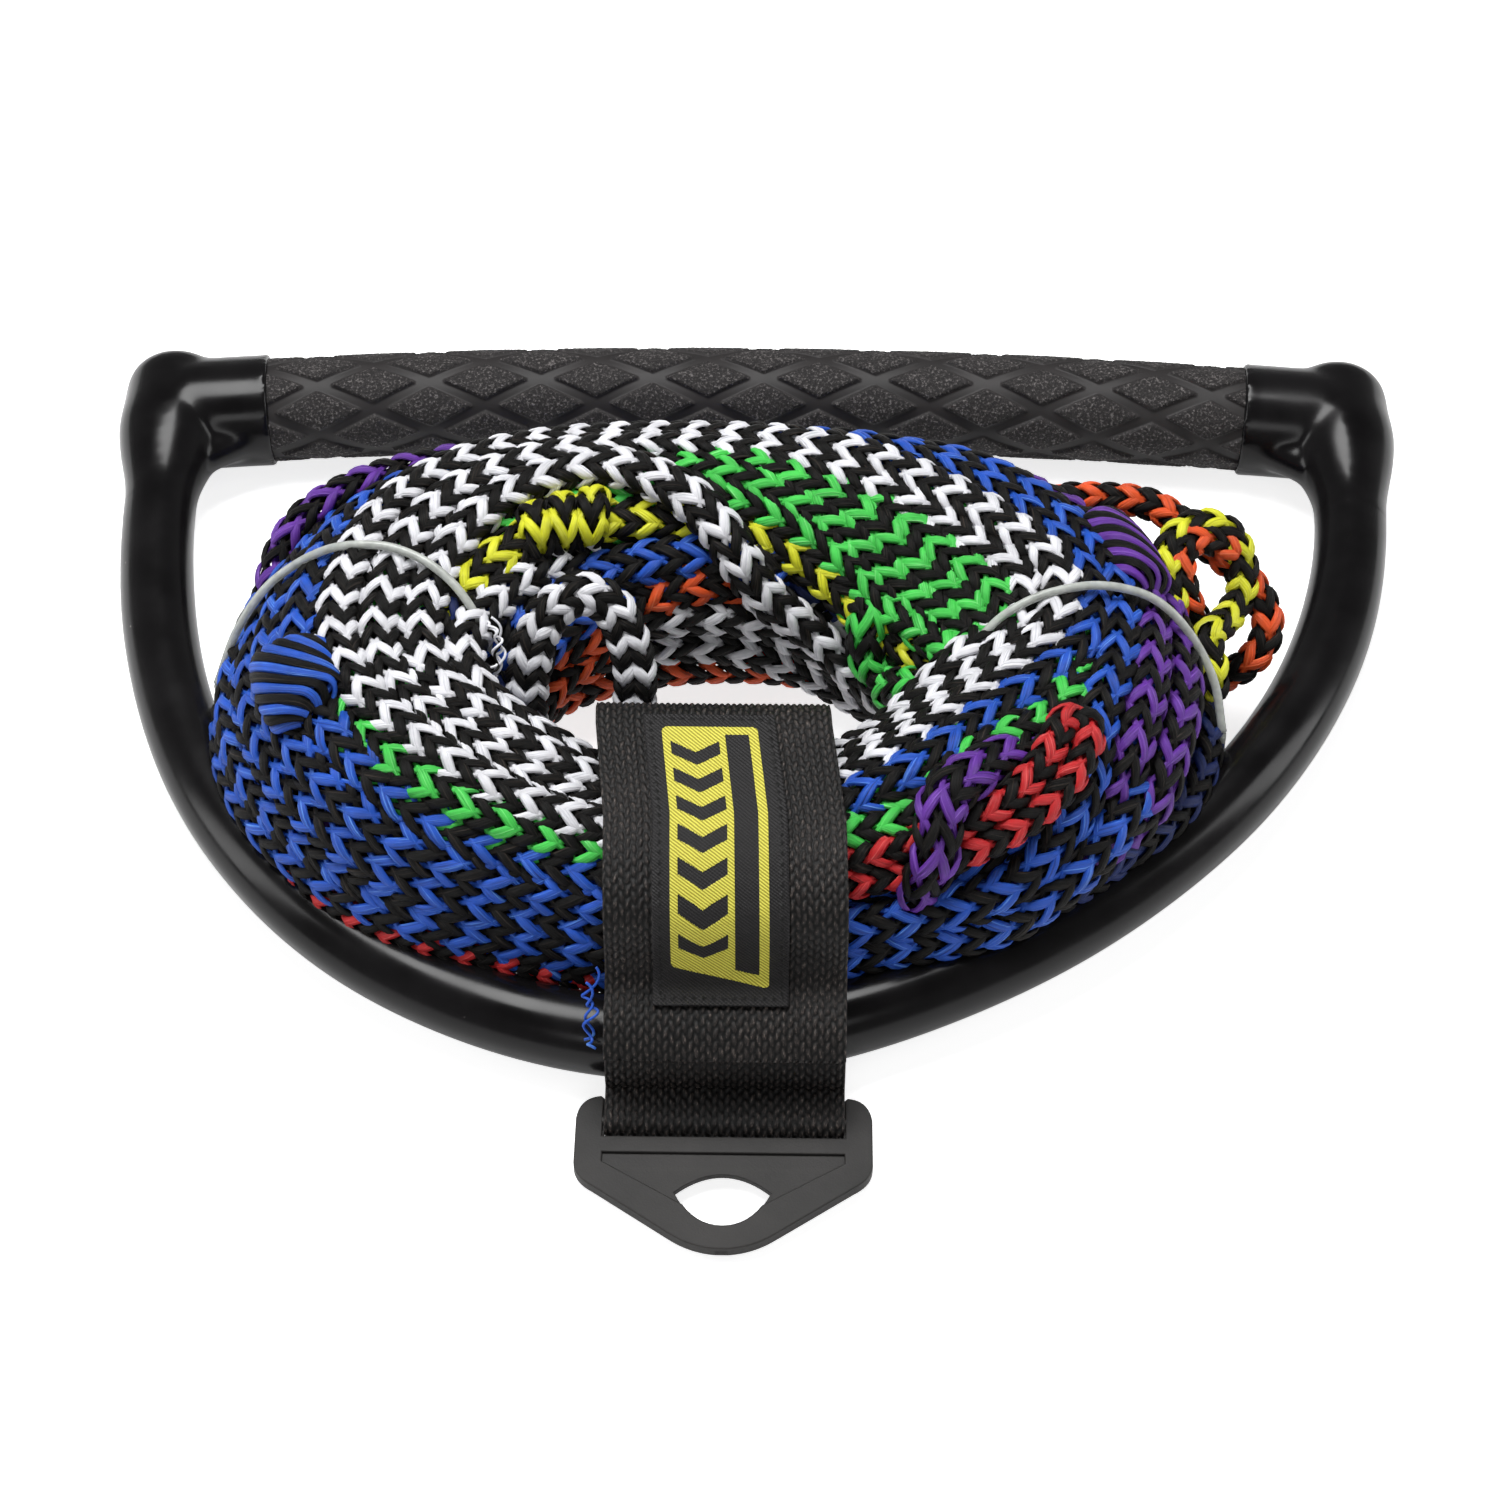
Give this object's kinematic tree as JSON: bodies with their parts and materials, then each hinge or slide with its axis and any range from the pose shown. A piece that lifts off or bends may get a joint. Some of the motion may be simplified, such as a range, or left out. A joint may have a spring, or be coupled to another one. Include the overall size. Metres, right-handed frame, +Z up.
{
  "type": "tow rope handle",
  "caption": "Bowed rubber-grip tow handle with a dipped D-shaped bow, its braided multi-colour line coiled inside and tied by a webbing keeper strap with a moulded hanger.",
  "frame": {"origin": "middle of the handle's footprint, on the floor plane it lies on", "axes": "+X along the grip to the user's right, +Y from the hanger and the bow's apex towards the grip, +Z up"},
  "size_m": [0.3204, 0.2556, 0.065],
  "materials": {
    "aluminium_tube": "satin extruded tube",
    "grip_rubber": "stippled raised pads",
    "black_vinyl": "dipped vinyl, high gloss",
    "nylon_plug": "moulded",
    "closed_cell_foam": "closed-cell float foam",
    "core_rope": "hidden rope core",
    "rope_white": "braided polyethylene, white and black yarns",
    "rope_blue": "braided polyethylene, blue and black yarns",
    "rope_green": "braided polyethylene, green and black yarns",
    "rope_yellow": "braided polyethylene, yellow and black yarns",
    "rope_orange": "braided polyethylene, orange and black yarns",
    "rope_red": "braided polyethylene, red and black yarns",
    "rope_purple": "braided polyethylene, purple and black yarns",
    "webbing": "coarse black nylon webbing",
    "tape": "hook and loop tape",
    "label": "woven patch, yellow on black",
    "hanger_plastic": "moulded, fine texture",
    "clear_tie": "translucent plastic cord"
  },
  "bodies": {
    "handle": {"handle_tube": "aluminium_tube", "grip_sleeve": "grip_rubber", "left_end_plug": "nylon_plug", "right_end_plug": "nylon_plug", "float_core": "closed_cell_foam", "bow_tube": "black_vinyl", "bow_core_rope": "core_rope", "left_end_boot": "black_vinyl", "right_end_boot": "black_vinyl", "line_red": "rope_red", "line_blue": "rope_blue", "line_purple": "rope_purple", "line_orange": "rope_orange", "line_yellow": "rope_yellow", "line_green": "rope_green", "line_white": "rope_white", "purple_splice": "rope_purple", "blue_splice": "rope_blue", "yellow_splice": "rope_yellow", "green_loop": "rope_green", "red_loop": "rope_red", "orange_loop": "rope_orange", "yellow_loop": "rope_yellow", "left_tie": "clear_tie", "right_tie": "clear_tie", "strap_base": "webbing", "hook_tape": "tape"},
    "flap": {"strap_flap": "webbing", "loop_tape": "tape", "label_patch": "label"},
    "hanger": {"hanger": "hanger_plastic"},
    "eye": {"boat_end_loop": "rope_white"}
  },
  "joints": [
    {"name": "strap_flap_peel", "type": "hinge", "parent": "handle", "child": "flap", "pos_m": [-0.00409, -0.0167, 0.042], "axis": [-1, 0, 0], "range_deg": [0, 75]},
    {"name": "hanger_swing", "type": "hinge", "parent": "handle", "child": "hanger", "pos_m": [-0.00409, -0.09655, 0.0036], "axis": [-1, 0, 0], "range_deg": [0, 60]},
    {"name": "boat_end_loop_lean", "type": "hinge", "parent": "handle", "child": "eye", "pos_m": [-0.03309, 0.00085, 0.038], "axis": [-1, 0, 0], "range_deg": [-4, 9], "stiffness_Nm_per_rad": 0.05}
  ]
}
